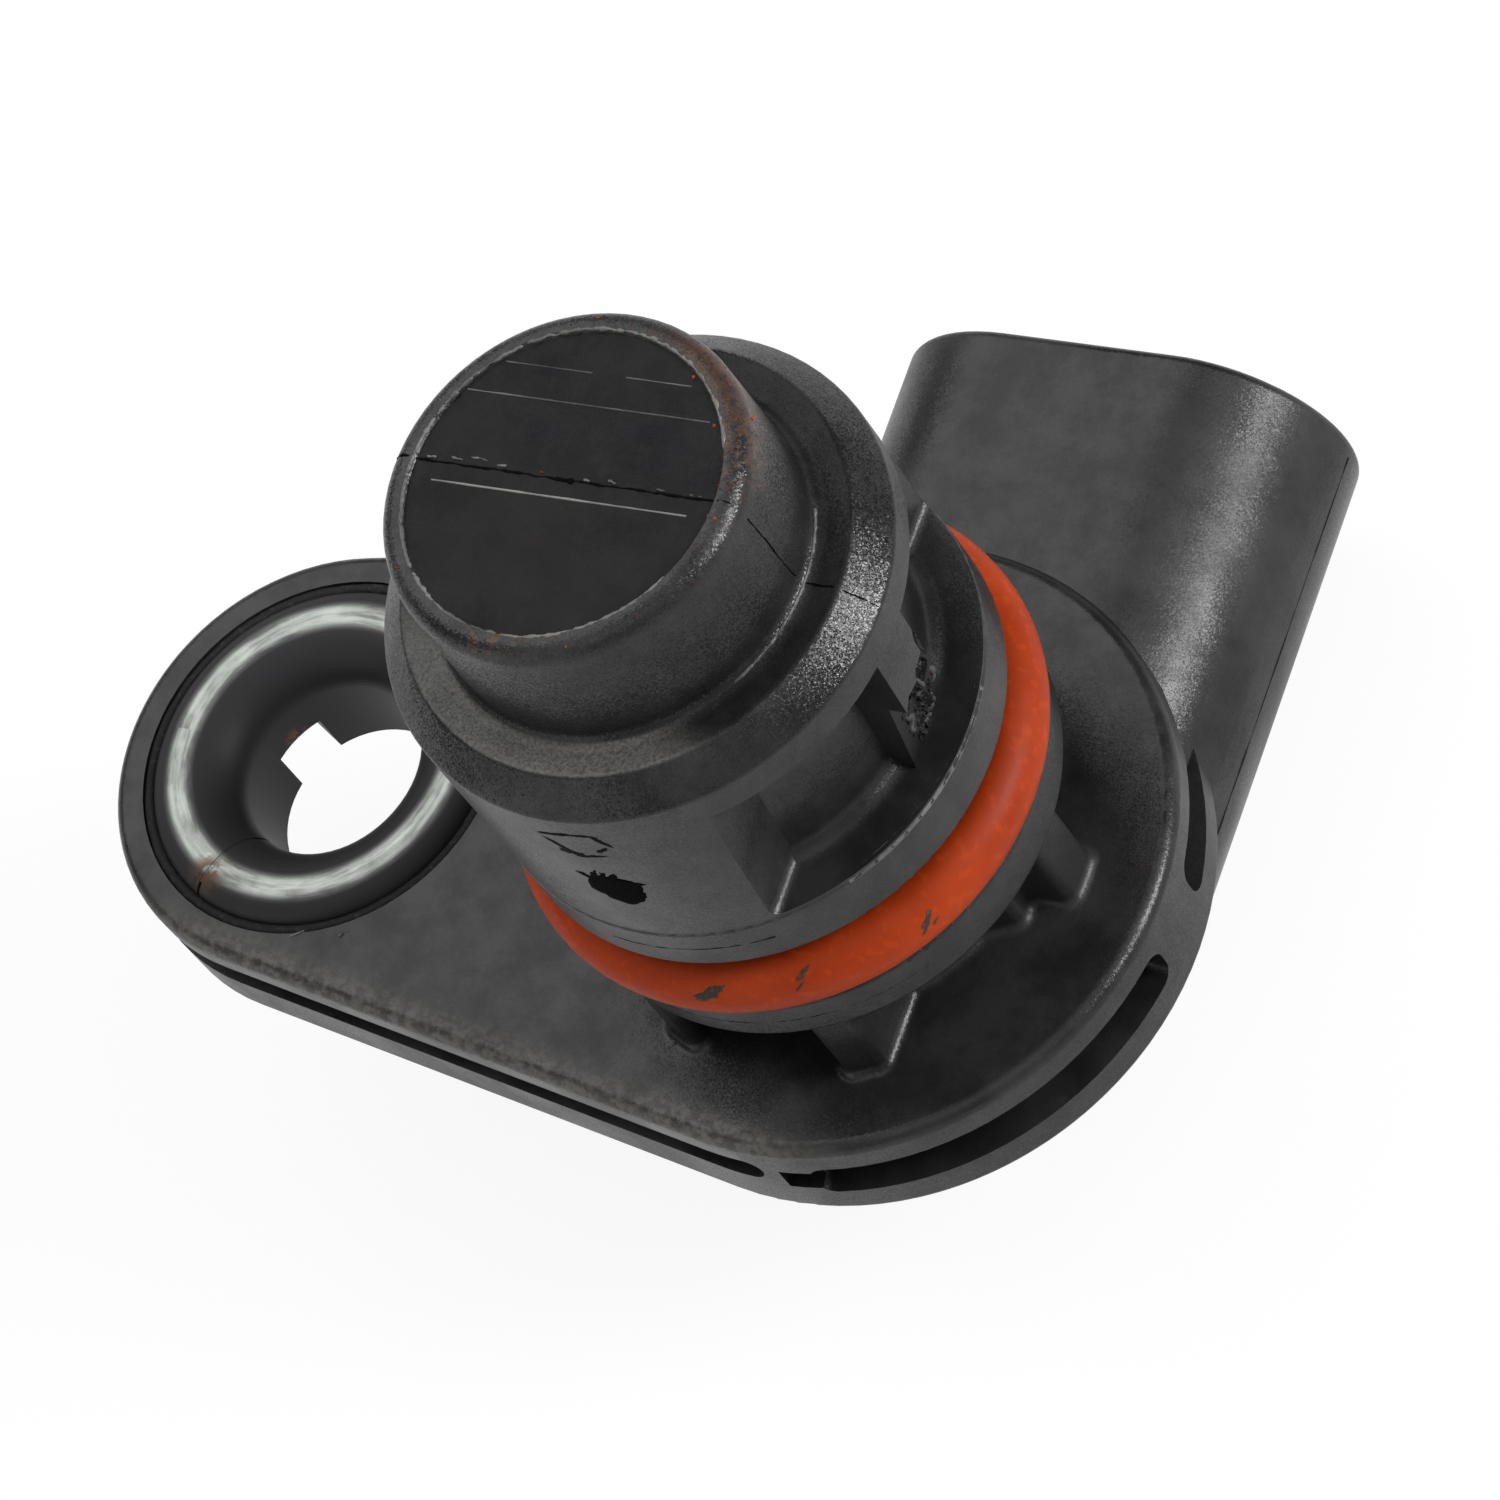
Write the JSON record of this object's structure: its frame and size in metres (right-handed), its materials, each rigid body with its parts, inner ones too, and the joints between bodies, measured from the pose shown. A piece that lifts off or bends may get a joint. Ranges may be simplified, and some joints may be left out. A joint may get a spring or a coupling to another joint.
{
  "type": "camshaft position sensor",
  "caption": "Camshaft position sensor: black moulded probe with an orange O-ring, a bolt ear with a steel compression limiter, and a sideways connector shroud.",
  "frame": {"origin": "middle of the flange's mounting face, on the probe axis", "axes": "+Z along the probe towards the sensing tip, -X from the probe to the bolt hole, +Y out of the connector mouth"},
  "size_m": [0.0411, 0.032, 0.0378],
  "materials": {
    "housing_plastic": "black glass-filled plastic, satin, with fine speckle and light wear",
    "seal_rubber": "orange rubber, matte, with small dark smudges",
    "limiter_steel": "rolled and plated steel, bright on its crown",
    "terminal_metal": "tinned copper alloy",
    "lead_metal": "tinned copper alloy",
    "chip_compound": "black moulding compound",
    "pole_steel": "soft steel",
    "magnet_block": "plated sintered magnet",
    "capacitor_ceramic": "brown ceramic",
    "carrier_plastic": "black moulded plastic"
  },
  "bodies": {
    "root": {"housing": "housing_plastic", "o_ring": "seal_rubber", "mounting_bushing": "limiter_steel", "terminal_supply": "terminal_metal", "terminal_ground": "terminal_metal", "terminal_signal": "terminal_metal", "ic_lead_supply": "lead_metal", "ic_lead_ground": "lead_metal", "ic_lead_signal": "lead_metal", "hall_ic": "chip_compound", "pole_plate": "pole_steel", "bias_magnet": "magnet_block", "capacitor_supply": "capacitor_ceramic", "capacitor_signal": "capacitor_ceramic", "sensor_carrier": "carrier_plastic"}
  },
  "joints": []
}
